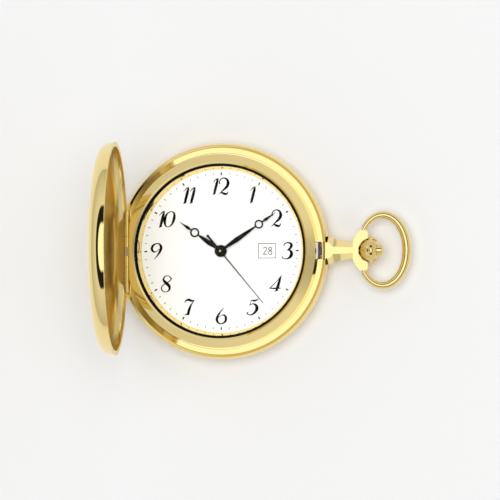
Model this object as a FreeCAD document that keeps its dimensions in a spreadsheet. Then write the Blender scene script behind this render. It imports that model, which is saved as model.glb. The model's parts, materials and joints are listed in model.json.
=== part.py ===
# Hunter-case pocket watch with a calendar quartz movement.
#
# Frame: the watch lies on its back. The origin is the middle of the flat on the
# case back, +Z is the dial's normal, +X points to the pendant at 3 o'clock and
# +Y to 12 o'clock. Millimetres. At rest the front cover stands open.

import FreeCAD, Part
import math
import os
import Sketcher

V = FreeCAD.Vector
doc = FreeCAD.newDocument("pocket_watch")
sheet = doc.addObject("Spreadsheet::Sheet", "sizes")

# Driving dimensions: name, millimetres (or degrees, or a count of teeth), meaning.
# A size that goes with another is a formula in it.
SIZES = [
    ("fit_gap", 0.05, "radial running clearance of shafts and pins"),
    ("part_gap", 0.12, "clearance beside sliding plates"),
    ("case_radius", 24.0, "case band at its widest"),
    ("widest_height", 3.95, "height of the widest circle"),
    ("rim_inner", "=case_radius - 1.1", "inner foot of the rim, where the flat ledge starts"),
    ("groove_deep", 0.2, "groove between the ledge and the bezel"),
    ("crest_radius", "=case_radius - 0.6", "crest of the band, under the cover's edge"),
    ("crest_height", 5.5, "height of the crest"),
    ("ledge_radius", "=case_radius - 2.2", "inner end of the band's flat ledge"),
    ("ledge_height", 5.0, "floor of the groove beside the bezel"),
    ("seat_radius", "=case_radius - 2.55", "step that the bezel presses into"),
    ("seat_height", 4.6, "floor of that step"),
    ("band_bore", "=seat_radius - 2.5", "bore of the case band"),
    ("band_foot", 1.95, "underside of the band's skirt"),
    ("skirt_radius", "=case_radius - 1.8", "skirt that the back snaps over"),
    ("back_joint", 2.75, "height of the joint between back and band"),
    ("back_edge_radius", "=case_radius - 0.65", "outer edge of the back at the joint"),
    ("back_flat", 11.0, "radius of the flat that the watch lies on"),
    ("back_wall", 0.7, "thickness of the back"),
    ("side_bulge", 1.35, "radius of the band's rounded side"),
    ("back_turn_radius", "=case_radius - 2.4", "where the back starts to turn up"),
    ("back_turn_height", 0.9, "height of that turn"),
    ("gasket_wire", 0.45, "height of the back's seal"),
    ("bezel_top_radius", "=seat_radius - 1.7", "crest of the bezel"),
    ("bezel_top", 7.7, "height of the bezel's crest"),
    ("bezel_wall_top", 6.8, "top of the bezel's outer wall"),
    ("bezel_inner", "=seat_radius - 2.15", "bore of the bezel, round the crystal"),
    ("crystal_radius", "=bezel_inner - 0.15", "crystal"),
    ("crystal_edge", 7.0, "underside of the crystal at its edge"),
    ("crystal_thick", 0.8, "crystal thickness"),
    ("crystal_rise", 0.6, "how far the crystal domes up"),
    ("dial_radius", "=band_bore - 0.25", "dial"),
    ("dial_top", 5.3, "height of the dial's face"),
    ("dial_thick", 0.4, "dial thickness"),
    ("dial_opening", "=band_bore - 0.9", "dial seen inside the sloping inner ring"),
    ("rehaut_top_radius", "=band_bore - 0.1", "upper edge of the sloping inner ring"),
    ("window_place", 10.35, "date window's middle from the dial's centre"),
    ("window_wide", 3.7, "date window across"),
    ("window_high", 2.9, "date window up the dial"),
    ("hinge_place", "=case_radius - 2.67", "cover hinge's axis from the centre"),
    ("hinge_height", 5.5, "height of the cover hinge's axis"),
    ("knuckle_radius", 0.68, "hinge knuckles"),
    ("hinge_half", 9.2, "half the hinge's length"),
    ("middle_knuckle", 6.8, "length of the cover's own knuckle"),
    ("pin_radius", 0.35, "hinge pin"),
    ("cover_radius", "=case_radius - 0.8", "cover at its edge"),
    ("cover_lift", 0.1, "cover's edge above the hinge axis, closed"),
    ("cover_depth", 5.95, "cover's edge to its crown"),
    ("cover_wall", 0.6, "cover thickness"),
    ("cover_rim", 0.45, "straight part of the cover's wall"),
    ("cover_shoulder", 3.0, "radius of the cover's shoulder"),
    ("cover_open", 83.0, "angle that the cover opens to"),
    ("lip_reach", 0.45, "inward lip of the cover's edge"),
    ("lip_deep", 0.35, "height of that lip"),
    ("pendant_height", 3.7, "height of the pendant's axis"),
    ("neck_start", "=case_radius - 0.6", "neck's root"),
    ("neck_shoulder", "=neck_start + 1.7", "neck where the taper starts"),
    ("neck_end", "=neck_start + 6.1", "neck's end"),
    ("flange_half", 3.1, "half width of the neck's foot"),
    ("neck_half", 2.65, "half width of the neck's wide end"),
    ("neck_half_end", 1.65, "half width of the neck's narrow end"),
    ("facet_half", 0.82, "half width of the neck's flat, wide end"),
    ("facet_half_end", 0.62, "half width of the neck's flat, narrow end"),
    ("neck_high", 1.75, "neck's half height at its wide end"),
    ("neck_high_end", 1.4, "neck's half height at its narrow end"),
    ("stem_bore", 0.8, "bore through neck and band"),
    ("bow_pivot", "=yoke_start + 2.3", "bow's pivot from the centre"),
    ("bow_reach", "=bow_pivot + 10.6", "far side of the bow from the centre"),
    ("bow_half", 8.85, "half the bow's width"),
    ("bow_middle", "=bow_pivot + 4.2", "middle of the bow's oval from the centre"),
    ("bow_wire", 2.1, "bow's thickness at the far side"),
    ("bow_end_wire", 1.3, "bow's thickness at its ends"),
    ("ear_inner", 2.75, "inner face of the yoke's ears"),
    ("ear_outer", 4.45, "outer face of the yoke's ears"),
    ("ear_radius", 1.0, "yoke's ears"),
    ("yoke_start", "=neck_end", "foot of the yoke"),
    ("yoke_round", 5.5, "rounding of the yoke's shoulders"),
    ("yoke_floor", "=yoke_start + 1.25", "hollow of the yoke"),
    ("bow_pin_hole", 0.55, "hole for the bow's end"),
    ("crown_start", "=yoke_start + 1.5", "inner end of the crown"),
    ("crown_end", "=crown_start + 3.75", "outer end of the crown"),
    ("crown_radius", 2.95, "crown over its ribs"),
    ("crown_root", 1.25, "crown's narrow inner end"),
    ("button_radius", 1.27, "release button"),
    ("button_end", "=crown_end + 1.3", "outer end of the button"),
    ("button_travel", 0.7, "travel of the release button"),
    ("crown_travel", 1.3, "how far the crown pulls out to set the hands"),
    ("stem_radius", 0.52, "setting stem"),
    ("stem_tip", 9.6, "inner tip of the stem"),
    ("stem_end", "=crown_start + 2.3", "outer end of the stem, inside the crown"),
    ("push_rod", 0.28, "rod inside the hollow stem"),
    ("cross_pin", 0.16, "pin across the release rod"),
    ("slot_place", "=neck_start - 0.4", "inner side of the release pin"),
    ("catch_width", 3.6, "width of the cover's catch"),
    ("catch_place", "=seat_radius + 0.15", "inner face of the catch plate"),
    ("catch_thick", 0.4, "catch plate thickness"),
    ("catch_nose", "=catch_place + 0.9", "tip of the catch"),
    ("catch_top", 6.5, "top of the catch"),
    ("spring_width", 2.0, "width of the lift spring"),
    ("holder_radius", "=band_bore - 0.15", "movement holder outside"),
    ("movement_radius", 12.9, "main plate"),
    ("plate_top", 4.45, "top of the main plate"),
    ("plate_thick", 1.05, "main plate thickness"),
    ("date_inner", 8.5, "date ring inside"),
    ("date_outer", 12.5, "date ring outside"),
    ("date_thick", 0.25, "date ring thickness"),
    ("bridge_thick", 0.3, "train bridge thickness"),
    ("bridge_low", 1.55, "underside of the train bridge"),
    ("seconds_level", 2.2, "underside of the seconds wheel"),
    ("third_level", 2.65, "underside of the third wheel"),
    ("centre_level", 3.05, "underside of the centre wheel"),
    ("motion_level", 4.2, "underside of the motion wheel"),
    ("hour_wheel_level", 4.52, "underside of the hour wheel"),
    ("wheel_thick", 0.2, "thickness of the wheels"),
    ("arbor", 0.12, "wheel arbors"),
    ("minute_pipe", 0.32, "pipe that carries the minute hand"),
    ("hour_pipe", 0.55, "pipe that carries the hour hand"),
    ("rotor_magnet", 0.7, "rotor's magnet"),
    ("rotor_gap", 0.25, "air gap round the rotor"),
    ("coil_radius", 0.75, "motor coil"),
    ("coil_length", 7.6, "motor coil length"),
    ("coil_place", 7.6, "motor coil from the centre"),
    ("battery_radius", 3.4, "button cell"),
    ("battery_thick", 2.1, "button cell thickness"),
    ("battery_place", 8.3, "button cell's middle from the centre"),
    ("battery_angle", -56.7, "direction of the button cell, degrees"),
    ("lever_arm", 4.0, "setting lever from its pivot to its peg"),
    ("hour_level", 5.72, "underside of the hour hand"),
    ("minute_level", 6.08, "underside of the minute hand"),
    ("second_level", 6.42, "underside of the seconds hand"),
    ("hand_thick", 0.14, "thickness of the hands"),
    ("hour_length", 11.3, "hour hand"),
    ("minute_length", 15.0, "minute hand"),
    ("second_length", 15.0, "seconds hand"),
]
for row, (name, amount, meaning) in enumerate(SIZES, 1):
    sheet.set("A%d" % row, meaning)
    sheet.set("B%d" % row, str(amount))
    sheet.setAlias("B%d" % row, name)
doc.recompute()

pieces = {}


def size(text):
    """The value of a formula in the sheet's names."""
    return float(sheet.evalExpression(named(text)))


def named(text):
    """A formula with each of the sheet's names given its sheet."""
    out = ""
    word = ""
    for letter in str(text) + " ":
        if letter.isalnum() or letter == "_":
            word += letter
            continue
        out += "sizes." + word if word in ALIASES else word
        out += letter
        word = ""
    return out.strip()


ALIASES = {name for name, _, _ in SIZES}


def keep(label, item):
    """File a finished piece under the name of its node."""
    item.Label = label
    pieces[label] = item
    return item


# ---------------------------------------------------------------- sketch tools

def constrain(sketch, limits):
    """Adds all the constraints at once, then binds their sizes. Each limit is
    (constraint, formula or None)."""
    first = sketch.ConstraintCount
    sketch.addConstraint([limit for limit, _ in limits])
    for number, (_, text) in enumerate(limits, first):
        if text is not None:
            sketch.setExpression("Constraints[%d]" % number, text)


def add_outline(sketch, corners):
    """A closed outline. Each corner is (across, up) or, where a round stretch
    arrives at it, (across, up, radius), with the radius negative where the
    stretch bulges to the left of the way round."""
    spots = [V(size(c[0]), size(c[1]), 0) for c in corners]
    ends = []
    limits = []
    for i, corner in enumerate(corners):
        start = spots[i - 1]
        end = spots[i]
        if len(corner) == 2:
            line = sketch.addGeometry(Part.LineSegment(start, end), False)
            ends.append((line, 1, 2))
            continue
        radius = size(corner[2])
        along = end - start
        away = math.sqrt(max(radius ** 2 - (along.Length / 2) ** 2, 0.0))
        left = V(-along.y, along.x, 0).normalize()
        side = -1.0 if radius < 0 else 1.0
        centre = (start + end) * 0.5 + left * away * side
        top = centre - left * abs(radius) * side
        arc = sketch.addGeometry(Part.Arc(start, top, end), False)
        first = 1 if (sketch.getPoint(arc, 1) - start).Length < 1e-6 else 2
        ends.append((arc, first, 3 - first))
        limits.append((Sketcher.Constraint("Radius", arc, abs(radius)), "abs(%s)" % named(corner[2])))
    for i, (line, _, last) in enumerate(ends):
        following = ends[(i + 1) % len(ends)]
        limits.append((Sketcher.Constraint("Coincident", line, last, following[0], following[1]), None))
    for (line, _, last), corner, spot in zip(ends, corners, spots):
        limits.append((Sketcher.Constraint("DistanceX", -1, 1, line, last, spot.x), named(corner[0])))
        limits.append((Sketcher.Constraint("DistanceY", -1, 1, line, last, spot.y), named(corner[1])))
    constrain(sketch, limits)


def new_sketch(body, name, role, offset=None):
    """A sketch on one of the body's own origin planes, raised by a formula."""
    sketch = body.newObject("Sketcher::SketchObject", name)
    plane = [f for f in body.Origin.OriginFeatures if f.Role == role][0]
    sketch.AttachmentSupport = (plane, [""])
    sketch.MapMode = "FlatFace"
    if offset is not None:
        sketch.setExpression("AttachmentOffset.Base.z", named(offset))
    return sketch


def turned(name, corners):
    """A piece turned about the dial's axis from its outline (radius, height)."""
    body = doc.addObject("PartDesign::Body", name)
    sketch = new_sketch(body, name + "_outline", "YZ_Plane")
    add_outline(sketch, corners)
    turn = body.newObject("PartDesign::Revolution", name + "_turn")
    turn.Profile = sketch
    turn.ReferenceAxis = (sketch, ["V_Axis"])
    turn.Angle = 360
    body.Tip = turn
    return body


def plate(name, corners, low, thick):
    """A flat piece cut from sheet: outline (x, y), underside and thickness."""
    body = doc.addObject("PartDesign::Body", name)
    sketch = new_sketch(body, name + "_outline", "XY_Plane", low)
    add_outline(sketch, corners)
    pad = body.newObject("PartDesign::Pad", name + "_pad")
    pad.Profile = sketch
    pad.setExpression("Length", named(thick))
    body.Tip = pad
    return body


# ------------------------------------------------------------- simple solids

TURNS = {"Z": FreeCAD.Rotation(), "X": FreeCAD.Rotation(V(0, 1, 0), 90), "Y": FreeCAD.Rotation(V(1, 0, 0), -90)}


def place(item, spot):
    for letter, text in zip("xyz", spot):
        item.setExpression("Placement.Base." + letter, named(text))


def rod(name, radius, length, spot, along="Z"):
    item = doc.addObject("Part::Cylinder", name)
    item.setExpression("Radius", named(radius))
    item.setExpression("Height", named(length))
    item.Placement = FreeCAD.Placement(V(0, 0, 0), TURNS[along])
    place(item, spot)
    return item


def block(name, low, high):
    """A box between two corners given as formulas."""
    item = doc.addObject("Part::Box", name)
    for side, bottom, top in zip(("Length", "Width", "Height"), low, high):
        item.setExpression(side, named("(%s) - (%s)" % (top, bottom)))
    place(item, low)
    return item


def fused(name, *items):
    item = doc.addObject("Part::MultiFuse", name)
    item.Shapes = list(items)
    return item


def cut(name, base, *tools):
    item = doc.addObject("Part::Cut", name)
    item.Base = base
    item.Tool = tools[0] if len(tools) == 1 else fused(name + "_tools", *tools)
    return item


def made(name, shape):
    """A piece whose shape and place are worked out here from the sheet's values."""
    item = doc.addObject("Part::Feature", name)
    item.Shape = shape
    return item


# ----------------------------------------------------------------- case back

keep("case_back", turned("case_back", [
    ("0", "0"),
    ("back_flat", "0"),
    ("back_turn_radius", "back_turn_height", "60"),
    ("back_edge_radius", "back_joint", "2.6"),
    ("skirt_radius", "back_joint"),
    ("skirt_radius", "band_foot - gasket_wire"),
    ("skirt_radius - 1", "band_foot - gasket_wire"),
    ("back_flat", "back_wall", "-60"),
    ("0", "back_wall"),
]))
keep("back_gasket", turned("back_gasket", [
    ("skirt_radius - 0.05", "band_foot - gasket_wire"),
    ("skirt_radius - 0.05", "band_foot"),
    ("skirt_radius - 0.85", "band_foot"),
    ("skirt_radius - 0.85", "band_foot - gasket_wire"),
]))

# ----------------------------------------------------------------- case band

band_ring = turned("band_ring", [
    ("band_bore", "band_foot"),
    ("skirt_radius", "band_foot"),
    ("skirt_radius", "back_joint"),
    ("back_edge_radius", "back_joint"),
    ("case_radius", "widest_height", "side_bulge"),
    ("crest_radius + 0.12", "crest_height - 0.1", "side_bulge * 2"),
    ("crest_radius", "crest_height"),
    ("rim_inner", "ledge_height + groove_deep + 0.04"),
    ("ledge_radius", "ledge_height + groove_deep"),
    ("ledge_radius - 0.05", "ledge_height"),
    ("seat_radius", "ledge_height"),
    ("seat_radius", "seat_height"),
    ("band_bore", "seat_height"),
])
hinge_recess = block(
    "hinge_recess",
    ("-case_radius - 1", "-(hinge_half + 1.5)", "hinge_height - knuckle_radius - 0.2"),
    ("-(hinge_place - knuckle_radius)", "hinge_half + 1.5", "crest_height + 1"))
neck_flat = block(
    "neck_flat",
    ("neck_start", "-flange_half - 0.1", "back_joint - 0.01"),
    ("case_radius + 1", "flange_half + 0.1", "crest_height + 1"))
band_stem_hole = rod(
    "band_stem_hole", "stem_bore", "case_radius - band_bore + 2",
    ("band_bore - 1", "0", "pendant_height"), "X")
catch_pocket = block(
    "catch_pocket",
    ("catch_place - button_travel - part_gap", "-catch_width / 2 - part_gap", "pendant_height - 1.35"),
    ("catch_place + catch_thick + 0.75", "catch_width / 2 + part_gap", "seat_height + 1"))
lift_pocket = block(
    "lift_pocket",
    ("-(hinge_place - knuckle_radius) - 0.1", "-spring_width / 2 - part_gap", "seat_height - 0.6"),
    ("-(hinge_place - 1.95)", "spring_width / 2 + part_gap", "crest_height + 1"))
keep("case_band", cut(
    "case_band", band_ring, hinge_recess, neck_flat, band_stem_hole, catch_pocket, lift_pocket))

# ------------------------------------------------------- bezel, crystal, seals

bezel_ring = turned("bezel_ring", [
    ("band_bore + 0.2", "seat_height"),
    ("seat_radius", "seat_height"),
    ("seat_radius", "bezel_wall_top"),
    ("bezel_top_radius", "bezel_top"),
    ("bezel_inner", "bezel_top - 0.25"),
    ("bezel_inner", "crystal_edge - 0.3"),
    ("band_bore + 0.2", "crystal_edge - 0.3"),
])
catch_notch = block(
    "catch_notch",
    ("catch_place - button_travel - part_gap", "-catch_width / 2 - part_gap", "seat_height - 1"),
    ("seat_radius + 1", "catch_width / 2 + part_gap", "catch_top + part_gap"))
catch_window = block(
    "catch_window",
    ("catch_place + catch_thick + 0.05", "-catch_width / 2 - part_gap", "seat_height - 1"),
    ("seat_radius + 1", "catch_width / 2 + part_gap", "bezel_top + 1"))
lift_notch = block(
    "lift_notch",
    ("-seat_radius - 1", "-spring_width / 2 - part_gap", "seat_height - 1"),
    ("-(hinge_place - 1.95)", "spring_width / 2 + part_gap", "hinge_height + knuckle_radius + fit_gap + 0.47"))
bezel_side = block(
    "bezel_side",
    ("-case_radius - 1", "-(hinge_half + 1.5)", "seat_height - 1"),
    ("-(hinge_place - knuckle_radius - 0.15)", "hinge_half + 1.5", "bezel_top + 1"))
keep("bezel", cut("bezel", bezel_ring, catch_notch, catch_window, lift_notch, bezel_side))

keep("crystal_gasket", turned("crystal_gasket", [
    ("crystal_radius - 0.4", "crystal_edge - 0.3"),
    ("bezel_inner", "crystal_edge - 0.3"),
    ("bezel_inner", "crystal_edge + crystal_thick - 0.3"),
    ("crystal_radius", "crystal_edge + crystal_thick - 0.3"),
    ("crystal_radius", "crystal_edge"),
    ("crystal_radius - 0.4", "crystal_edge"),
]))
keep("crystal", turned("crystal", [
    ("0", "crystal_edge + crystal_rise"),
    ("crystal_radius - 0.8", "crystal_edge",
     "-((crystal_radius - 0.8) * (crystal_radius - 0.8) / 2 / crystal_rise + crystal_rise / 2)"),
    ("crystal_radius", "crystal_edge"),
    ("crystal_radius", "crystal_edge + crystal_thick - 0.2"),
    ("0", "crystal_edge + crystal_rise + crystal_thick",
     "crystal_radius * crystal_radius / 2 / (crystal_rise + 0.2) + crystal_rise / 2 + 0.1"),
]))
keep("rehaut_ring", turned("rehaut_ring", [
    ("dial_opening", "dial_top"),
    ("band_bore - 0.05", "dial_top"),
    ("band_bore - 0.05", "crystal_edge - 0.35"),
    ("rehaut_top_radius", "crystal_edge - 0.35"),
]))

# -------------------------------------------------------------- front cover
# Drawn closed, then turned open about the hinge, as it stands at rest.

EDGE = "hinge_height + cover_lift"
OPEN = FreeCAD.Placement(V(0, 0, 0), FreeCAD.Rotation(V(0, -1, 0), size("cover_open")),
                         V(-size("hinge_place"), 0, size("hinge_height")))


def opened(name, item):
    """A copy of a closed piece turned to the open position."""
    doc.recompute()
    shape = item.Shape.copy()
    shape.Placement = OPEN.multiply(shape.Placement)
    return made(name, shape)


def dome(name, inset, low):
    """Closed solid under the cover's curve, or under a curve set in from it:
    a straight wall, a tight shoulder and a flat crown that meet smoothly."""
    radius = "(cover_radius - %s)" % inset
    shoulder = "(cover_shoulder - %s)" % inset
    depth = "(cover_depth - %s)" % inset
    rise = "(%s - cover_rim)" % depth
    middle = "(cover_radius - cover_shoulder)"
    crown = "((%s * %s + %s * %s - %s * %s) / 2 / (%s - %s))" % (
        middle, middle, rise, rise, shoulder, shoulder, rise, shoulder)
    join_across = "%s * %s / (%s - %s)" % (middle, crown, crown, shoulder)
    join_up = "%s + %s - %s + %s * (%s - %s) / (%s - %s)" % (
        EDGE, depth, crown, crown, crown, rise, crown, shoulder)
    return turned(name, [
        ("0", low),
        (radius, low),
        (radius, EDGE + " + cover_rim"),
        (join_across, join_up, shoulder),
        ("0", EDGE + " + " + depth, crown),
    ])


cover_outside = dome("cover_outside", "0", EDGE)
cover_hollow = dome("cover_hollow", "cover_wall", EDGE + " - 0.5")
hollow_front = block(
    "hollow_front",
    ("-hinge_place + 0.03", "-cover_radius - 1", EDGE + " - 1"),
    ("cover_radius + 1", "cover_radius + 1", EDGE + " + cover_depth + 1"))
hollow = doc.addObject("Part::Common", "hollow")
hollow.Base = cover_hollow
hollow.Tool = hollow_front
cover_flat = block(
    "cover_flat",
    ("-cover_radius - 1", "-cover_radius - 1", EDGE + " - 1"),
    ("-(hinge_place + cover_wall - 0.03)", "cover_radius + 1", EDGE + " + cover_depth + 1"))
knuckle_room = rod(
    "knuckle_room", "knuckle_radius + fit_gap * 2", "2 * hinge_half + 0.4",
    ("-hinge_place", "-hinge_half - 0.2", "hinge_height"), "Y")
cover_shell = cut("cover_shell", cover_outside, hollow, cover_flat)
lip_ring = turned("lip_ring", [
    ("cover_radius - cover_wall - lip_reach", EDGE),
    ("cover_radius - cover_wall", EDGE),
    ("cover_radius - cover_wall", EDGE + " + lip_deep + 0.1"),
    ("cover_radius - cover_wall - lip_reach", EDGE + " + lip_deep"),
])
lip_front = block(
    "lip_front",
    ("-hinge_place + 1.6", "-cover_radius - 1", EDGE + " - 1"),
    ("cover_radius + 1", "cover_radius + 1", EDGE + " + 2"))
lip = doc.addObject("Part::Common", "lip")
lip.Base = lip_ring
lip.Tool = lip_front
closed_cover = cut("closed_cover", fused("cover_with_lip", cover_shell, lip), knuckle_room)
keep("front_cover", opened("front_cover", closed_cover))

middle_tube = rod(
    "middle_tube", "knuckle_radius", "middle_knuckle - 2 * fit_gap",
    ("-hinge_place", "-middle_knuckle / 2 + fit_gap", "hinge_height"), "Y")
knuckle_leaf = block(
    "knuckle_leaf",
    ("-(hinge_place + cover_wall - 0.03)", "-middle_knuckle / 2 + fit_gap", "hinge_height"),
    ("-hinge_place + 0.03", "middle_knuckle / 2 - fit_gap", "hinge_height + knuckle_radius + 2 * fit_gap + 0.6"))
pin_room = rod(
    "pin_room", "pin_radius + fit_gap", "2 * hinge_half + 2",
    ("-hinge_place", "-hinge_half - 1", "hinge_height"), "Y")
middle_solid = cut("middle_solid", fused("middle_shape", middle_tube, knuckle_leaf), pin_room)
closed_knuckle = cut("closed_knuckle", middle_solid, cover_shell)
keep("cover_knuckle", opened("cover_knuckle", closed_knuckle))

# The case's two knuckles are soldered to the flat of the band, with the pin
# tight in them and free in the cover's knuckle between them.
side_solids = []
for side, start in (("upper", "middle_knuckle / 2 + fit_gap"), ("lower", "-hinge_half")):
    long_part = "hinge_half - middle_knuckle / 2 - fit_gap"
    tube = rod(side + "_tube", "knuckle_radius", long_part, ("-hinge_place", start, "hinge_height"), "Y")
    foot = block(
        side + "_foot",
        ("-hinge_place", start, "hinge_height - knuckle_radius"),
        ("-(hinge_place - knuckle_radius)", "(%s) + %s" % (start, long_part), "hinge_height"))
    side_solids += [tube, foot]
pin_seat = rod(
    "pin_seat", "pin_radius", "2 * hinge_half + 2", ("-hinge_place", "-hinge_half - 1", "hinge_height"), "Y")
keep("case_knuckles", cut("case_knuckles", fused("side_knuckles", *side_solids), pin_seat))
keep("hinge_pin", rod(
    "hinge_pin", "pin_radius", "2 * hinge_half", ("-hinge_place", "-hinge_half", "hinge_height"), "Y"))

# The lift spring's tongue slides out through the band and throws the cover up.
tongue = block(
    "tongue",
    ("-hinge_place - 0.3", "-spring_width / 2", "hinge_height + knuckle_radius + fit_gap"),
    ("-(hinge_place - 1.35)", "spring_width / 2", "hinge_height + knuckle_radius + fit_gap + 0.35"))
tongue_leg = block(
    "tongue_leg",
    ("-(hinge_place - 0.85)", "-spring_width / 2", "seat_height - 0.45"),
    ("-(hinge_place - 1.35)", "spring_width / 2", "hinge_height + knuckle_radius + fit_gap + 0.35"))
keep("lift_spring", fused("lift_spring", tongue, tongue_leg))

# ---------------------------------------------------------- neck, yoke, bow


def squashed_hexagon(x, half_wide, facet, half_high):
    z = size("pendant_height")
    spots = [(facet, half_high), (half_wide, 0), (facet, -half_high), (-facet, -half_high), (-half_wide, 0),
             (-facet, half_high)]
    return Part.makePolygon([V(x, y, z + up) for y, up in spots + spots[:1]])


def neck_shape():
    sections = [
        (size("neck_start"), size("flange_half"), size("facet_half") + 0.9, size("neck_high")),
        (size("neck_start") + 0.9, size("flange_half"), size("facet_half") + 0.9, size("neck_high")),
        (size("neck_shoulder"), size("neck_half"), size("facet_half"), size("neck_high")),
        (size("neck_end"), size("neck_half_end"), size("facet_half_end"), size("neck_high_end")),
    ]
    wires = [squashed_hexagon(*section) for section in sections]
    lengths = [Part.makeLoft(wires[i:i + 2], True, True) for i in range(3)]
    return lengths[0].fuse(lengths[1:]).removeSplitter()


neck_blank = made("neck_blank", neck_shape())
neck_hole = rod("neck_hole", "stem_bore", "neck_end - neck_start + 1",
                ("neck_start - 0.5", "0", "pendant_height"), "X")
keep("pendant_neck", cut("pendant_neck", neck_blank, neck_hole))

yoke_outline = [
    ("yoke_start", "-1.9"),
    ("bow_pivot - 0.6", "-ear_outer", "yoke_round"),
    ("bow_pivot + 0.6", "-ear_outer"),
    ("bow_pivot + 1", "-ear_outer + 0.4"),
    ("bow_pivot + 1", "ear_outer - 0.4"),
    ("bow_pivot + 0.6", "ear_outer"),
    ("bow_pivot - 0.6", "ear_outer"),
    ("yoke_start", "1.9", "yoke_round"),
]
yoke_blank = plate("yoke_blank", yoke_outline, "pendant_height - ear_radius - 0.3", "2 * ear_radius + 0.6")
yoke_stem_hole = rod("yoke_stem_hole", "stem_bore", "3", ("yoke_start - 1", "0", "pendant_height"), "X")
yoke_bow_hole = rod(
    "yoke_bow_hole", "bow_pin_hole + fit_gap", "2 * ear_outer + 2",
    ("bow_pivot", "-ear_outer - 1", "pendant_height"), "Y")


def yoke_hollow_shape():
    """Bowl in the yoke that the crown sits in, wider than the crown all round."""
    floor, ears = size("yoke_floor"), size("bow_pivot")
    corners = [(floor, 0), (floor, 1.5), (ears - 0.1, 2.5), (ears + 0.7, 2.8), (ears + 1.2, 2.95), (ears + 1.2, 0)]
    outline = Part.makePolygon([V(x, r, size("pendant_height")) for x, r in corners + corners[:1]])
    return Part.Face(outline).revolve(V(0, 0, size("pendant_height")), V(1, 0, 0), 360)


yoke_hollow = made("yoke_hollow", yoke_hollow_shape())
keep("bow_yoke", cut("bow_yoke", yoke_blank, yoke_hollow, yoke_stem_hole, yoke_bow_hole))


def bow_shape():
    """Oval ring of round wire, thinner towards its two inturned ends."""
    z = size("pendant_height")
    start = size("bow_pivot")
    half = size("bow_half") - size("bow_wire") / 2
    reach = size("bow_reach") - size("bow_wire") / 2
    middle = size("bow_middle")
    # The oval's own angle starts at its long axis, which lies along +Y.
    turn = math.asin((start - middle) / (reach - middle))
    end = half * math.cos(turn)
    oval = Part.Ellipse(V(middle, half, z), V(reach, 0, z), V(middle, 0, z))
    line = oval.trim(turn, math.pi / 2)
    path = Part.Wire(line.toShape())
    pipe = Part.BRepOffsetAPI.MakePipeShell(path)
    for share in (0.0, 0.25, 0.5, 0.75, 1.0):
        at = line.FirstParameter + share * (line.LastParameter - line.FirstParameter)
        wire = size("bow_end_wire") + (size("bow_wire") - size("bow_end_wire")) * share ** 0.7
        ring = Part.makeCircle(wire / 2, line.value(at), line.tangent(at)[0])
        pipe.add(Part.Wire(ring))
    pipe.build()
    pipe.makeSolid()
    half_ring = pipe.shape()
    pivot = Part.makeCylinder(size("bow_pin_hole"), end - size("ear_inner") - 0.2,
                              V(start, size("ear_inner") + 0.2, z), V(0, 1, 0))
    one = half_ring.fuse(pivot)
    other = one.mirror(V(0, 0, 0), V(0, 1, 0))
    return one.fuse(other).removeSplitter()


keep("bow", made("bow", bow_shape()))

# -------------------------------------------------- crown, stem, release button

crown_start = size("crown_start")
crown_long = size("crown_end") - crown_start


def crown_shape():
    """Onion crown: turned body with lengthwise ribs cut by round grooves."""
    z = size("pendant_height")
    x0 = crown_start
    r_max = size("crown_radius")
    root = size("crown_root")
    spots = [(0, root), (0.24, r_max * 0.75), (0.56, r_max * 0.94), (0.77, r_max), (1, r_max * 0.7)]
    foot, flank, brow, top, rim = [V(x0 + crown_long * share, r, 0) for share, r in spots]
    low = Part.Arc(foot, flank, brow)
    high = Part.Arc(brow, top, rim)
    edges = [low.toShape(), high.toShape(),
             Part.makeLine(rim, V(x0 + crown_long, 0, 0)),
             Part.makeLine(V(x0 + crown_long, 0, 0), V(x0, 0, 0)),
             Part.makeLine(V(x0, 0, 0), V(x0, root, 0))]
    body = Part.Face(Part.Wire(edges)).revolve(V(0, 0, 0), V(1, 0, 0), 360)
    body = Part.makeSolid(body) if body.ShapeType != "Solid" else body
    ribs = 22
    groove = 0.2
    path = [(0.12, r_max * 0.69), (0.5, r_max + 0.02), (0.8, r_max + 0.06), (1.03, r_max * 0.76)]
    cuts = []
    for i in range(ribs):
        angle = 2 * math.pi * i / ribs
        out = V(0, math.cos(angle), math.sin(angle))
        line = [V(x0 + crown_long * share, 0, 0) + out * r for share, r in path]
        for a, b in zip(line, line[1:]):
            cuts.append(Part.makeCylinder(groove, (b - a).Length, a, b - a))
    body = body.cut(cuts)
    body.translate(V(0, 0, z))
    return body


crown_blank = made("crown_blank", crown_shape())
AXIS = "pendant_height"
crown_stem_hole = rod("crown_stem_hole", "stem_radius", "stem_end - crown_start + 0.1",
                      ("crown_start - 0.1", "0", AXIS), "X")
crown_button_hole = rod("crown_button_hole", "button_radius + fit_gap", "crown_end - stem_end + 1",
                        ("stem_end + 0.2", "0", AXIS), "X")
crown_rod_hole = rod("crown_rod_hole", "push_rod + fit_gap", "crown_end - crown_start",
                     ("crown_start", "0", AXIS), "X")
keep("crown", cut("crown", crown_blank, crown_stem_hole, crown_button_hole, crown_rod_hole))

stem_solid = rod("stem_solid", "stem_radius", "stem_end - stem_tip", ("stem_tip", "0", AXIS), "X")
stem_hollow = rod("stem_hollow", "push_rod + fit_gap", "stem_end - slot_place + 2",
                  ("slot_place - button_travel - 0.1", "0", AXIS), "X")
stem_slot = block(
    "stem_slot",
    ("slot_place - button_travel - 0.1", "-1", "pendant_height - cross_pin - fit_gap"),
    ("slot_place + 2 * cross_pin + 0.05", "1", "pendant_height + cross_pin + fit_gap"))


def ring_groove(name, depth, start, wide):
    """A square groove round the stem."""
    outside = rod(name + "_outside", "stem_radius + 1", wide, (start, "0", AXIS), "X")
    inside = rod(name + "_inside", "stem_radius - (%s)" % depth, wide, (start, "0", AXIS), "X")
    return cut(name, outside, inside)


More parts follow.
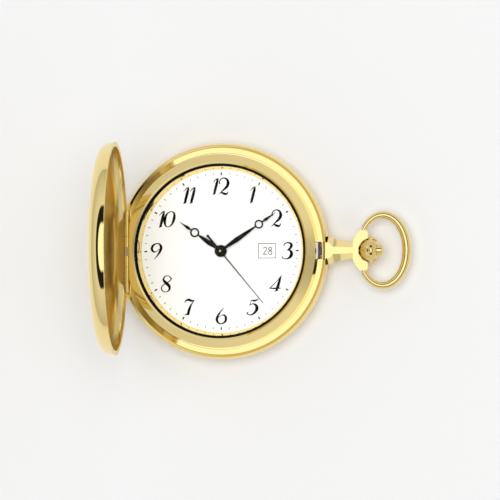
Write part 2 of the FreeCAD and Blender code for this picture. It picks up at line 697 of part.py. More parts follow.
gasket_groove = ring_groove("gasket_groove", "0.1", "neck_end - 2.4", "0.7")
lever_groove = ring_groove("lever_groove", "0.16", "stem_tip + 0.5", "0.6")
keep("setting_stem", cut("setting_stem", stem_solid, stem_hollow, stem_slot, gasket_groove, lever_groove))
keep("stem_gasket", cut(
    "stem_gasket",
    rod("gasket_outside", "stem_bore - 0.01", "0.6", ("neck_end - 2.35", "0", AXIS), "X"),
    rod("gasket_hole", "stem_radius - 0.08", "0.6", ("neck_end - 2.35", "0", AXIS), "X")))
keep("setting_pinion", cut(
    "setting_pinion",
    rod("pinion_outside", "stem_radius + 0.15", "1.6", ("stem_tip + 1.3", "0", AXIS), "X"),
    rod("pinion_hole", "stem_radius", "1.6", ("stem_tip + 1.3", "0", AXIS), "X")))

button_cap = rod("button_cap", "button_radius", "button_end - stem_end - 0.2 - button_travel - 0.05",
                 ("stem_end + 0.25 + button_travel", "0", AXIS), "X")
rounded_cap = doc.addObject("Part::Fillet", "rounded_cap")
rounded_cap.Base = button_cap
doc.recompute()
outer_edge = [i + 1 for i, e in enumerate(button_cap.Shape.Edges)
              if e.BoundBox.XLength < 0.01 and e.BoundBox.XMin > size("button_end") - 0.01]
rounded_cap.Edges = [(number, 0.3, 0.3) for number in outer_edge]
button_rod_hole = rod("button_rod_hole", "push_rod", "1.6", ("stem_end + 0.1", "0", AXIS), "X")
keep("release_button", cut("release_button", rounded_cap, button_rod_hole))
push_rod = rod("push_rod", "push_rod", "stem_end + 1.7 - slot_place", ("slot_place", "0", AXIS), "X")
cross_hole = rod("cross_hole", "cross_pin", "4", ("slot_place + cross_pin", "-2", AXIS), "Y")
keep("release_rod", cut("release_rod", push_rod, cross_hole))
keep("release_pin", rod("release_pin", "cross_pin", "2 * (stem_bore - 0.06)",
                        ("slot_place + cross_pin", "-(stem_bore - 0.06)", AXIS), "Y"))

# ------------------------------------------------------------ cover's catch
# A steel plate in a pocket of the band. Its hook holds the lip of the closed
# cover. The release pin pushes it back through a collar on the stem.

catch_plate = block(
    "catch_plate",
    ("catch_place", "-catch_width / 2", "pendant_height - 1.2"),
    ("catch_place + catch_thick", "catch_width / 2", "catch_top"))
catch_hook = doc.addObject("PartDesign::Body", "catch_hook")
hook_sketch = new_sketch(catch_hook, "hook_outline", "XZ_Plane", "-catch_width / 2")
add_outline(hook_sketch, [
    ("catch_place", "catch_top - 0.4"),
    ("catch_nose", "catch_top - 0.4"),
    ("catch_nose", "catch_top - 0.3"),
    ("catch_place + 0.25", "catch_top"),
    ("catch_place", "catch_top"),
])
hook_pad = catch_hook.newObject("PartDesign::Pad", "hook_pad")
hook_pad.Profile = hook_sketch
hook_pad.setExpression("Length", named("catch_width"))
catch_hook.Tip = hook_pad
catch_hole = rod("catch_hole", "stem_radius + 0.13", "2", ("catch_place - 0.8", "0", AXIS), "X")
keep("cover_catch", cut("cover_catch", fused("catch_solid", catch_plate, catch_hook), catch_hole))
keep("release_collar", cut(
    "release_collar",
    rod("collar_outside", "stem_bore - 0.07", "slot_place - catch_place - catch_thick - 0.05",
        ("catch_place + catch_thick", "0", AXIS), "X"),
    rod("collar_hole", "stem_radius + fit_gap", "slot_place - catch_place - catch_thick - 0.05",
        ("catch_place + catch_thick", "0", AXIS), "X")))

# --------------------------------------------------------------------- dial

dial_disc = rod("dial_disc", "dial_radius", "dial_thick", ("0", "0", "dial_top - dial_thick"))
date_window = block(
    "date_window",
    ("window_place - window_wide / 2", "-window_high / 2", "dial_top - dial_thick - 1"),
    ("window_place + window_wide / 2", "window_high / 2", "dial_top + 1"))
dial_hole = rod("dial_hole", "hour_pipe + 0.1", "2", ("0", "0", "dial_top - 1"))
dial_feet = [rod("dial_foot_%d" % i, "0.35", "0.9", spot + ("dial_top - dial_thick - 0.9",))
             for i, spot in enumerate([("-7.2", "2.0"), ("2.4", "-7.6")])]
keep("dial", cut("dial", fused("dial_solid", dial_disc, *dial_feet), date_window, dial_hole))

# --------------------------------------------------------- movement frame

holder = turned("holder_ring", [
    ("movement_radius", "dial_top - dial_thick - 1.6"),
    ("holder_radius", "dial_top - dial_thick - 1.6"),
    ("holder_radius", "dial_top - dial_thick"),
    ("movement_radius", "dial_top - dial_thick"),
])
keep("movement_holder", cut(
    "movement_holder", holder,
    block("holder_channel", ("movement_radius - 1", "-1.1", "pendant_height - 2"),
          ("holder_radius + 1", "1.1", "pendant_height + stem_radius + 0.35"))))

plate_disc = rod("plate_disc", "movement_radius", "plate_thick", ("0", "0", "plate_top - plate_thick"))

# The wheels: teeth, module and level of each. Their centres follow from the
# modules, so that every pair stays in mesh, and each is turned until its
# teeth stand in the gaps of the wheel that it meets.
TEETH = {
    "rotor": {"pinion": (8, 0.08, "third_level")},
    "intermediate": {"wheel": (48, 0.08, "third_level"), "pinion": (8, 0.12, "seconds_level")},
    "seconds": {"wheel": (40, 0.12, "seconds_level"), "pinion": (8, 0.09, "third_level")},
    "third": {"wheel": (60, 0.09, "third_level"), "pinion": (8, 0.085, "centre_level")},
    "centre": {"wheel": (64, 0.085, "centre_level"), "pinion": (12, 0.125, "motion_level")},
    "motion": {"wheel": (36, 0.125, "motion_level"), "pinion": (10, 0.12, "hour_wheel_level")},
    "hour": {"wheel": (40, 0.12, "hour_wheel_level")},
}


def distance(first, second):
    """Centre distance of two gears in mesh."""
    return (first[0] + second[0]) * first[1] / 2


def polar(radius, angle):
    return V(radius * math.cos(math.radians(angle)), radius * math.sin(math.radians(angle)), 0)


CENTRES = {name: V(0, 0, 0) for name in ("seconds", "centre", "hour")}
CENTRES["third"] = polar(distance(TEETH["third"]["wheel"], TEETH["seconds"]["pinion"]), 110)
CENTRES["intermediate"] = polar(distance(TEETH["intermediate"]["pinion"], TEETH["seconds"]["wheel"]), -110)
CENTRES["motion"] = polar(distance(TEETH["motion"]["wheel"], TEETH["centre"]["pinion"]), 200)
CENTRES["rotor"] = CENTRES["intermediate"] + polar(
    distance(TEETH["rotor"]["pinion"], TEETH["intermediate"]["wheel"]), -110)


def meshed(own, own_at, other, other_at, other_phase):
    """The turn, in degrees, that sets a gear's teeth in the other's gaps."""
    line = math.degrees(math.atan2(own_at.y - other_at.y, own_at.x - other_at.x))
    share = (other_phase - line) * other[0] / 360
    return line + 180 + (-share - 0.5) * 360 / own[0]


PHASES = {("seconds", "wheel"): 0.0, ("seconds", "pinion"): 0.0, ("hour", "wheel"): 0.0}
for own, other in (
        (("intermediate", "pinion"), ("seconds", "wheel")),
        (("third", "wheel"), ("seconds", "pinion")),
        (("motion", "pinion"), ("hour", "wheel"))):
    PHASES[own] = meshed(TEETH[own[0]][own[1]], CENTRES[own[0]], TEETH[other[0]][other[1]],
                         CENTRES[other[0]], PHASES[other])
PHASES[("intermediate", "wheel")] = 0.0
PHASES[("third", "pinion")] = 0.0
PHASES[("motion", "wheel")] = 0.0
for own, other in (
        (("rotor", "pinion"), ("intermediate", "wheel")),
        (("centre", "wheel"), ("third", "pinion")),
        (("centre", "pinion"), ("motion", "wheel"))):
    PHASES[own] = meshed(TEETH[own[0]][own[1]], CENTRES[own[0]], TEETH[other[0]][other[1]],
                         CENTRES[other[0]], PHASES[other])


def toothed(name, kind, bore=0.0):
    """One gear: tapered teeth, a little narrower than their gaps."""
    teeth, module, level = TEETH[name][kind]
    centre = CENTRES[name] + V(0, 0, size(level))
    pitch = teeth * module / 2
    tip, root = pitch + 0.75 * module, pitch - 1.05 * module
    step = 2 * math.pi / teeth
    points = []
    for tooth in range(teeth):
        middle = math.radians(PHASES[(name, kind)]) + tooth * step
        for radius, share in ((root, -0.27), (tip, -0.11), (tip, 0.11), (root, 0.27)):
            angle = middle + share * step
            points.append(centre + V(radius * math.cos(angle), radius * math.sin(angle), 0))
    outline = Part.makePolygon(points + points[:1])
    gear = Part.Face(outline).extrude(V(0, 0, size("wheel_thick")))
    if bore:
        gear = gear.cut(Part.makeCylinder(bore, 1, centre - V(0, 0, 0.1)))
    return gear


def shaft(name, radius, low, high, bore=0.0):
    base = CENTRES[name] + V(0, 0, low)
    solid = Part.makeCylinder(radius, high - low, base)
    if bore:
        solid = solid.cut(Part.makeCylinder(bore, high - low + 1, base - V(0, 0, 0.5)))
    return solid


def joined(shapes):
    return shapes[0].fuse(shapes[1:]).removeSplitter()


arbor = size("arbor")
plate_low = size("plate_top - plate_thick")
hand_thick = size("hand_thick")
free = size("fit_gap")
pivot_low = size("bridge_low") + 0.1
keep("seconds_wheel", made("seconds_wheel", joined([
    shaft("seconds", arbor, pivot_low, size("second_level") + hand_thick),
    toothed("seconds", "wheel"), toothed("seconds", "pinion")])))
keep("third_wheel", made("third_wheel", joined([
    shaft("third", arbor, pivot_low, plate_low + 0.4), toothed("third", "wheel"), toothed("third", "pinion")])))
keep("intermediate_wheel", made("intermediate_wheel", joined([
    shaft("intermediate", arbor, pivot_low, plate_low + 0.4),
    toothed("intermediate", "wheel"), toothed("intermediate", "pinion")])))
keep("rotor", made("rotor", joined([
    shaft("rotor", arbor, pivot_low, plate_low + 0.4),
    shaft("rotor", size("rotor_magnet"), size("seconds_level") - 0.15, size("seconds_level") + 0.3),
    toothed("rotor", "pinion")])))
keep("centre_wheel", made("centre_wheel", joined([
    shaft("centre", size("minute_pipe"), size("centre_level"), size("minute_level") + hand_thick, arbor + free),
    toothed("centre", "wheel", arbor + free), toothed("centre", "pinion", arbor + free)])))
keep("motion_wheel", made("motion_wheel", joined([
    shaft("motion", arbor, size("motion_level") - 0.4, size("hour_wheel_level + wheel_thick")),
    toothed("motion", "wheel"), toothed("motion", "pinion")])))
keep("hour_wheel", made("hour_wheel", joined([
    shaft("hour", size("hour_pipe"), size("hour_wheel_level"), size("hour_level") + hand_thick,
          size("minute_pipe") + free),
    toothed("hour", "wheel", size("minute_pipe") + free)])))

# ----------------------------------------------------------- plate and bridge


def pivot_hole(name, centre, low, high, radius="arbor + fit_gap"):
    at = CENTRES[centre]
    return rod(name, radius, "(%s) - (%s)" % (high, low), (at.x, at.y, low))


PILLARS = [("4.0", "3.9"), ("-5.0", "4.6"), ("-4.0", "-8.3")]
screw_room = [rod("screw_room_%d" % i, "0.2", "3", spot + ("bridge_low - 0.5",))
              for i, spot in enumerate(PILLARS)]
foot_room = [rod("foot_room_%d" % i, "0.35", "2", spot + ("dial_top - dial_thick - 0.9",))
             for i, spot in enumerate([("-7.2", "2.0"), ("2.4", "-7.6")])]
stem_channel = block(
    "stem_channel",
    ("stem_tip - 0.3", "-stem_radius - 0.25", "plate_top - plate_thick - 1"),
    ("movement_radius + 1", "stem_radius + 0.25", "plate_top + 1"))
plate_cuts = [
    stem_channel,
    pivot_hole("plate_centre", "centre", "plate_top - plate_thick - 1", "plate_top + 1", "minute_pipe + fit_gap"),
    pivot_hole("pinion_recess", "centre", "motion_level - 0.05", "plate_top + 1", "1.0"),
    pivot_hole("motion_recess", "motion", "motion_level - 0.05", "plate_top + 1", "2.5"),
    pivot_hole("motion_pivot", "motion", "motion_level - 0.45", "plate_top + 1"),
    pivot_hole("third_pivot", "third", "plate_top - plate_thick - 1", "plate_top - plate_thick + 0.45"),
    pivot_hole("intermediate_pivot", "intermediate", "plate_top - plate_thick - 1",
               "plate_top - plate_thick + 0.45"),
    pivot_hole("rotor_pivot", "rotor", "plate_top - plate_thick - 1", "plate_top - plate_thick + 0.45"),
    rod("lever_pivot_hole", "0.3", "1.3", ("stem_tip + 0.8 + crown_travel / 2", "-lever_arm",
                                           "plate_top - plate_thick - 1")),
]
keep("main_plate", cut("main_plate", plate_disc, *(plate_cuts + screw_room + foot_room)))

bridge_sheet = plate("bridge_sheet", [
    ("5.0", "3.2"), ("5.0", "4.6"), ("3.6", "5.2"), ("-5.2", "5.7"), ("-6.1", "4.4"), ("-4.9", "-1.5"),
    ("-5.1", "-8.6"), ("-4.2", "-9.4"), ("-3.0", "-9.0"), ("-0.9", "-6.2"), ("1.4", "-2.8")],
    "bridge_low", "bridge_thick")
pillars = [rod("pillar_%d" % i, "0.5", "plate_top - plate_thick - bridge_low - bridge_thick",
               spot + ("bridge_low + bridge_thick",)) for i, spot in enumerate(PILLARS)]
bridge_cuts = [pivot_hole("bridge_" + name, name, "bridge_low - 1", "bridge_low + 2")
               for name in ("seconds", "third", "intermediate", "rotor")]
keep("train_bridge", cut("train_bridge", fused("bridge_solid", bridge_sheet, *pillars),
                         *(bridge_cuts + screw_room)))
screws = []
for i, spot in enumerate(PILLARS):
    screws += [rod("screw_head_%d" % i, "0.45", "0.3", spot + ("bridge_low - 0.3",)),
               rod("screw_shank_%d" % i, "0.2", "2.4", spot + ("bridge_low",))]
keep("bridge_screws", fused("bridge_screws", *screws))

# ------------------------------------------------------------- stepping motor

rotor_at = CENTRES["rotor"]
coil_x = "-coil_place"
coil_y = "-3.2"
coil_level = "seconds_level + 0.35"
coil_tube = rod("coil_tube", "coil_radius", "coil_length", (coil_x, "%s - coil_length / 2" % coil_y, coil_level), "Y")
coil_core_room = block(
    "coil_core_room",
    (coil_x + " - 0.3", coil_y + " - coil_length / 2 - 1", coil_level + " - 0.2"),
    (coil_x + " + 0.3", coil_y + " + coil_length / 2 + 1", coil_level + " + 0.2"))
keep("motor_coil", cut("motor_coil", coil_tube, coil_core_room))
keep("coil_core", block(
    "coil_core",
    (coil_x + " - 0.3", coil_y + " - coil_length / 2 - 0.9", coil_level + " - 0.2"),
    (coil_x + " + 0.3", coil_y + " + coil_length / 2 + 0.9", coil_level + " + 0.2")))
stator_sheet = plate("stator_sheet", [
    ("-coil_place - 0.7", coil_y + " - coil_length / 2 - 0.9"),
    ("-coil_place + 0.7", coil_y + " - coil_length / 2 - 0.9"),
    (rotor_at.x - 0.3, rotor_at.y - 1.6),
    (rotor_at.x + 1.5, rotor_at.y - 0.9),
    (rotor_at.x + 1.4, rotor_at.y + 0.9),
    (rotor_at.x - 0.7, rotor_at.y + 1.6),
    ("-coil_place + 1.9", coil_y + " + coil_length / 2 - 0.3"),
    ("-coil_place + 0.7", coil_y + " + coil_length / 2 + 0.9"),
    ("-coil_place - 0.7", coil_y + " + coil_length / 2 + 0.9"),
    ("-coil_place - 0.7", coil_y + " + coil_length / 2 + 0.1"),
    ("-coil_place + 1.0", coil_y + " + coil_length / 2 + 0.05"),
    ("-coil_place + 1.1", coil_y + " - coil_length / 2 - 0.05"),
    ("-coil_place - 0.7", coil_y + " - coil_length / 2 - 0.1"),
], coil_level + " - 0.6", "0.4")
keep("stator", cut(
    "stator", stator_sheet,
    rod("rotor_hole", "rotor_magnet + rotor_gap", "3", (rotor_at.x, rotor_at.y, "bridge_low"))))

# ----------------------------------------------------- cell, board and lever

CELL_LOW = "plate_top - plate_thick - 0.05 - battery_thick"
keep("button_cell", rod(
    "button_cell", "battery_radius", "battery_thick",
    ("battery_place * cos(battery_angle)", "battery_place * sin(battery_angle)", CELL_LOW)))
clamp = fused(
    "cell_clamp",
    block("clamp_strap", ("battery_place - battery_radius + 0.6", "-1.1", CELL_LOW + " - 0.15"),
          ("battery_place + battery_radius + 0.6", "1.1", CELL_LOW)),
    block("clamp_leg", ("battery_place + battery_radius + 0.2", "-1.1", CELL_LOW + " - 0.15"),
          ("battery_place + battery_radius + 0.6", "1.1", "plate_top - plate_thick")))
clamp.setExpression("Placement.Rotation.Angle", named("battery_angle"))
keep("cell_clamp", clamp)

BOARD_TOP = "plate_top - plate_thick - 0.05"
keep("circuit_board", plate("circuit_board", [
    ("9.6", "6.3"), ("6.4", "10.3"), ("0", "12.1", "movement_radius"), ("-6.4", "10.3", "movement_radius"),
    ("-9.6", "6.3"), ("0", "6.6")], BOARD_TOP + " - 0.2", "0.2"))
keep("timing_chip", block("timing_chip", ("2.0", "7.6", BOARD_TOP + " - 1.0"), ("4.2", "9.8", BOARD_TOP + " - 0.2")))
keep("crystal_can", rod("crystal_can", "0.75", "5.6", ("-6.4", "8.4", BOARD_TOP + " - 0.95"), "X"))

LEVER_X = "stem_tip + 0.8"
LEVER_LOW = "pendant_height - stem_radius - 0.4"
lever_bar = plate("lever_bar", [
    (LEVER_X + " - 0.4", "0.4"),
    (LEVER_X + " + crown_travel / 2 - 0.6", "-lever_arm - 0.6"),
    (LEVER_X + " + crown_travel / 2 + 0.6", "-lever_arm - 0.6"),
    (LEVER_X + " + 0.4", "0.4")], LEVER_LOW, "0.2")
lever_peg = rod("lever_peg", "0.2", "0.32", (LEVER_X, "0", LEVER_LOW + " + 0.2"))
lever_hole = rod("lever_hole", "0.3 + fit_gap", "1", (LEVER_X + " + crown_travel / 2", "-lever_arm", LEVER_LOW + " - 0.4"))
keep("setting_lever", cut("setting_lever", fused("lever_solid", lever_bar, lever_peg), lever_hole))
keep("lever_screw", fused(
    "lever_screw",
    rod("lever_screw_head", "0.5", "0.25", (LEVER_X + " + crown_travel / 2", "-lever_arm", LEVER_LOW + " - 0.3")),
    rod("lever_screw_shank", "0.3", "plate_top - plate_thick + 0.3 - (%s) + 0.05" % LEVER_LOW,
        (LEVER_X + " + crown_travel / 2", "-lever_arm", LEVER_LOW + " - 0.05"))))

keep("date_ring", cut(
    "date_ring",
    rod("date_disc", "date_outer", "date_thick", ("0", "0", "plate_top + 0.1")),
    rod("date_bore", "date_inner", "2", ("0", "0", "plate_top - 1"))))

# --------------------------------------------------------------------- hands


def hand_shape(length, level, angle, bore, hub, ring, widest, narrow):
    """A blued hand: a lance, a ring near its end and a fine tip. ring is
    (place, outside, hole) and widest is (place, width)."""
    half = narrow / 2
    edge = [
        (0.0, 0.32), (hub, 0.3), (widest[0], widest[1] / 2), ((widest[0] + ring[0]) / 2, widest[1] * 0.33),
        (ring[0] - ring[1], half), (ring[0] + ring[1], half), (ring[0] + ring[1] + 0.9, narrow * 1.3),
        (length - 0.9, half * 0.75), (length, 0.04)]
    points = [V(x, y, 0) for x, y in edge] + [V(x, -y, 0) for x, y in reversed(edge)]
    blade = Part.Face(Part.makePolygon(points + points[:1])).extrude(V(0, 0, hand_thick))
    disc = Part.makeCylinder(hub, hand_thick)
    loop = Part.makeCylinder(ring[1], hand_thick, V(ring[0], 0, 0))
    solid = blade.fuse([disc, loop]).removeSplitter()
    solid = solid.cut([Part.makeCylinder(bore, 1, V(0, 0, -0.5)),
                       Part.makeCylinder(ring[2], 1, V(ring[0], 0, -0.5))])
    solid.rotate(V(0, 0, 0), V(0, 0, 1), 90 - angle)
    solid.translate(V(0, 0, level))
    return solid


keep("hour_hand", made("hour_hand", hand_shape(
    size("hour_length"), size("hour_level"), 304.9, size("hour_pipe"), 1.35, (7.2, 1.03, 0.7), (3.1, 1.1), 0.27)))
keep("minute_hand", made("minute_hand", hand_shape(
    size("minute_length"), size("minute_level"), 55.9, size("minute_pipe"), 1.3, (10.45, 0.98, 0.67),
    (4.4, 1.1), 0.27)))


def second_hand_shape():
    """A fine straight hand with a short round-ended tail."""
    length = size("second_length")
    points = [V(0, 0.14, 0), V(length, 0.07, 0), V(length, -0.07, 0), V(0, -0.14, 0)]
    blade = Part.Face(Part.makePolygon(points + points[:1])).extrude(V(0, 0, hand_thick))
    tail = Part.makeBox(4.3, 0.4, hand_thick, V(-4.3, -0.2, 0))
    knob = Part.makeCylinder(0.32, hand_thick, V(-4.33, 0, 0))
    hub = Part.makeCylinder(0.75, hand_thick)
    solid = blade.fuse([tail, knob, hub]).removeSplitter()
    solid = solid.cut(Part.makeCylinder(arbor, 1, V(0, 0, -0.5)))
    solid.rotate(V(0, 0, 0), V(0, 0, 1), 90 - 140)
    solid.translate(V(0, 0, size("second_level")))
    return solid


keep("second_hand", made("second_hand", second_hand_shape()))

# --------------------------------------------------------------------- write

doc.recompute()
faults = [item.Name for item in doc.Objects if {"Invalid", "Error"} & set(item.State)]
if faults:
    raise SystemExit("failed objects: " + ", ".join(faults))
for label, item in pieces.items():
    shape = item.Shape
    if shape.isNull() or not shape.isValid() or not shape.Solids or shape.Volume <= 0:
        raise SystemExit("bad shape: " + label)
os.makedirs("parts", exist_ok=True)
for label, item in pieces.items():
    item.Shape.exportStep("parts/%s.step" % label)
print(len(pieces), "pieces written")
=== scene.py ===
import bpy
import math
from mathutils import Matrix, Vector
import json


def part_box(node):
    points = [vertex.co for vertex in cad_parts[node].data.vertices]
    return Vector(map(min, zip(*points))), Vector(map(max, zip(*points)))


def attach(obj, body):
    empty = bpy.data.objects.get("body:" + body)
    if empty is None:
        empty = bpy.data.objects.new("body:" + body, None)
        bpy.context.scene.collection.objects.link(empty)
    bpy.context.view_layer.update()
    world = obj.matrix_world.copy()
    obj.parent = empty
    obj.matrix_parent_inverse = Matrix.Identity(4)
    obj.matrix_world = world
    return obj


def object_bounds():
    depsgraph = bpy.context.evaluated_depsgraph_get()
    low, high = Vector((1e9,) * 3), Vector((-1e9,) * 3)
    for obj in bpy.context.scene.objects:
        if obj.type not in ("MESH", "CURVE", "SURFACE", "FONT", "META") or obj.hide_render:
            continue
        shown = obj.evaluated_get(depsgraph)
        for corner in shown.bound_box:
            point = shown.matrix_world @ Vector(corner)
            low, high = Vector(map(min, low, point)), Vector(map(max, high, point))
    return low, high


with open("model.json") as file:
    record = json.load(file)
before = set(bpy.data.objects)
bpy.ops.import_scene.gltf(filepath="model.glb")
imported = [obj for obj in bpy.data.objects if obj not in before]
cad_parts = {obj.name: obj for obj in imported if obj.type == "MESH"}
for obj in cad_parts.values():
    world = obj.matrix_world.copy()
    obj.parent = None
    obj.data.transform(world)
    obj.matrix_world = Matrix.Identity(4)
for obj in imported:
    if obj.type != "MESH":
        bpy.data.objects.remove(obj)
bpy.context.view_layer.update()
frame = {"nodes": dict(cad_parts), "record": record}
MM = 0.001
GOLD = "F7E09C"
GOLD_ROUGH = 0.05
INK_BLACK = "020203"

# ------------------------------------------------------------- materials
# Polished gold plate, spring steel, white lacquer and the finishes of the
# quartz movement, one material for each slot of the record.


def colour(code):
    """An sRGB code such as "F0CF85" as the linear colour that the shader takes."""
    parts = [int(code[i:i + 2], 16) / 255 for i in (0, 2, 4)]
    linear = [p / 12.92 if p <= 0.04045 else ((p + 0.055) / 1.055) ** 2.4 for p in parts]
    return (*linear, 1.0)


def add_node(tree, kind, links=None, **values):
    """A node with its settings and plain input values, and links from other nodes' outputs."""
    node = tree.nodes.new(kind)
    for name, value in values.items():
        setattr(node, name, value)
    for socket, source in (links or {}).items():
        if isinstance(source, bpy.types.NodeSocket):
            tree.links.new(source, node.inputs[socket])
        else:
            node.inputs[socket].default_value = source
    return node


def finish_of(name, code, rough, metal=0.0, coat=0.0, wear=0.0, grain=400.0, shine=0.5):
    """A Principled material. wear makes the roughness vary a little over the surface."""
    material = bpy.data.materials.new(name)
    material.use_nodes = True
    tree = material.node_tree
    shader = tree.nodes["Principled BSDF"]
    shader.inputs["Base Color"].default_value = colour(code)
    shader.inputs["Metallic"].default_value = metal
    shader.inputs["Roughness"].default_value = rough
    shader.inputs["Coat Weight"].default_value = coat
    shader.inputs["Specular IOR Level"].default_value = shine
    if wear:
        place = add_node(tree, "ShaderNodeTexCoord")
        noise = add_node(tree, "ShaderNodeTexNoise", {
            "Vector": place.outputs["Object"], "Scale": grain, "Detail": 4.0})
        spread = add_node(tree, "ShaderNodeMapRange", {
            "Value": noise.outputs["Fac"], "From Min": 0.35, "From Max": 0.65,
            "To Min": max(rough - wear, 0.0), "To Max": rough + wear})
        tree.links.new(spread.outputs["Result"], shader.inputs["Roughness"])
    return material


finishes = {
    # yellow gold plate, mirror polished, with the faint haze of handling
    "gold_plate": finish_of("gold_plate", GOLD, GOLD_ROUGH, metal=1.0, wear=0.02),
    # tempered spring steel, fine polish
    "spring_steel": finish_of("spring_steel", "C9BFBA", 0.2, metal=1.0, wear=0.04),
    # white lacquered dial, satin
    "dial_enamel": finish_of("dial_enamel", "F8F8F6", 0.45),
    "date_white": finish_of("date_white", "F4F4F2", 0.4),
    # black lacquer on stamped brass
    "black_lacquer": finish_of("black_lacquer", INK_BLACK, 0.5, shine=0.1),
    "seal_rubber": finish_of("seal_rubber", "16161A", 0.7),
    "seal_nylon": finish_of("seal_nylon", "2A2118", 0.5, shine=0.2),
    # nickel-plated brass with a fine grain
    "movement_nickel": finish_of(
        "movement_nickel", "C8C3B8", 0.3, metal=1.0, wear=0.08, grain=900.0),
    "holder_plastic": finish_of("holder_plastic", "D8D6D0", 0.5),
    "wheel_brass": finish_of("wheel_brass", "D9B566", 0.25, metal=1.0, wear=0.05),
    "rotor_magnet": finish_of("rotor_magnet", "6A6A6E", 0.4, metal=1.0),
    "soft_iron": finish_of("soft_iron", "9A9A9A", 0.35, metal=1.0),
    # enamelled copper wire
    "coil_copper": finish_of("coil_copper", "B4602C", 0.3, coat=0.4),
    "cell_steel": finish_of("cell_steel", "C4C4C6", 0.25, metal=1.0),
    "board_green": finish_of("board_green", "1E5A3C", 0.4),
    "chip_black": finish_of("chip_black", "101010", 0.5),
}

# Mineral glass, clear enough that its shadow is left out.
glass = bpy.data.materials.new("watch_glass")
glass.use_nodes = True
glass_shader = glass.node_tree.nodes["Principled BSDF"]
glass_shader.inputs["Base Color"].default_value = (1, 1, 1, 1)
glass_shader.inputs["Roughness"].default_value = 0.0
glass_shader.inputs["IOR"].default_value = 1.1
glass_shader.inputs["Transmission Weight"].default_value = 1.0
finishes["watch_glass"] = glass

for subpart in frame["record"]["subparts"]:
    node = frame["nodes"][subpart["node"]]
    node.data.materials.clear()
    node.data.materials.append(finishes[subpart["material_slot"]])
frame["nodes"]["crystal"].visible_shadow = False

# The cover's hollow side is only satin brushed; its own +X faces are the hollow ones.
SATIN_ROUGH = 0.3
cover_gold = finish_of("gold_cover", GOLD, GOLD_ROUGH, metal=1.0)
cover_tree = cover_gold.node_tree
faces_of = add_node(cover_tree, "ShaderNodeTexCoord")
across = add_node(cover_tree, "ShaderNodeSeparateXYZ", {"Vector": faces_of.outputs["Normal"]})
satin = add_node(cover_tree, "ShaderNodeMapRange", {
    "Value": across.outputs["X"], "From Min": 0.15, "From Max": 0.35,
    "To Min": GOLD_ROUGH, "To Max": SATIN_ROUGH})
cover_shader = cover_tree.nodes["Principled BSDF"]
cover_tree.links.new(satin.outputs["Result"], cover_shader.inputs["Roughness"])
frame["nodes"]["front_cover"].data.materials[0] = cover_gold

# ------------------------------------------------------------ dial printing
# Twelve slanted numerals drawn as pen strokes, the minute track and the
# frame of the date window, printed as a thin film on the dial.

dial_low, dial_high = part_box("dial")
PRINT = dial_high.z + 0.02 * MM

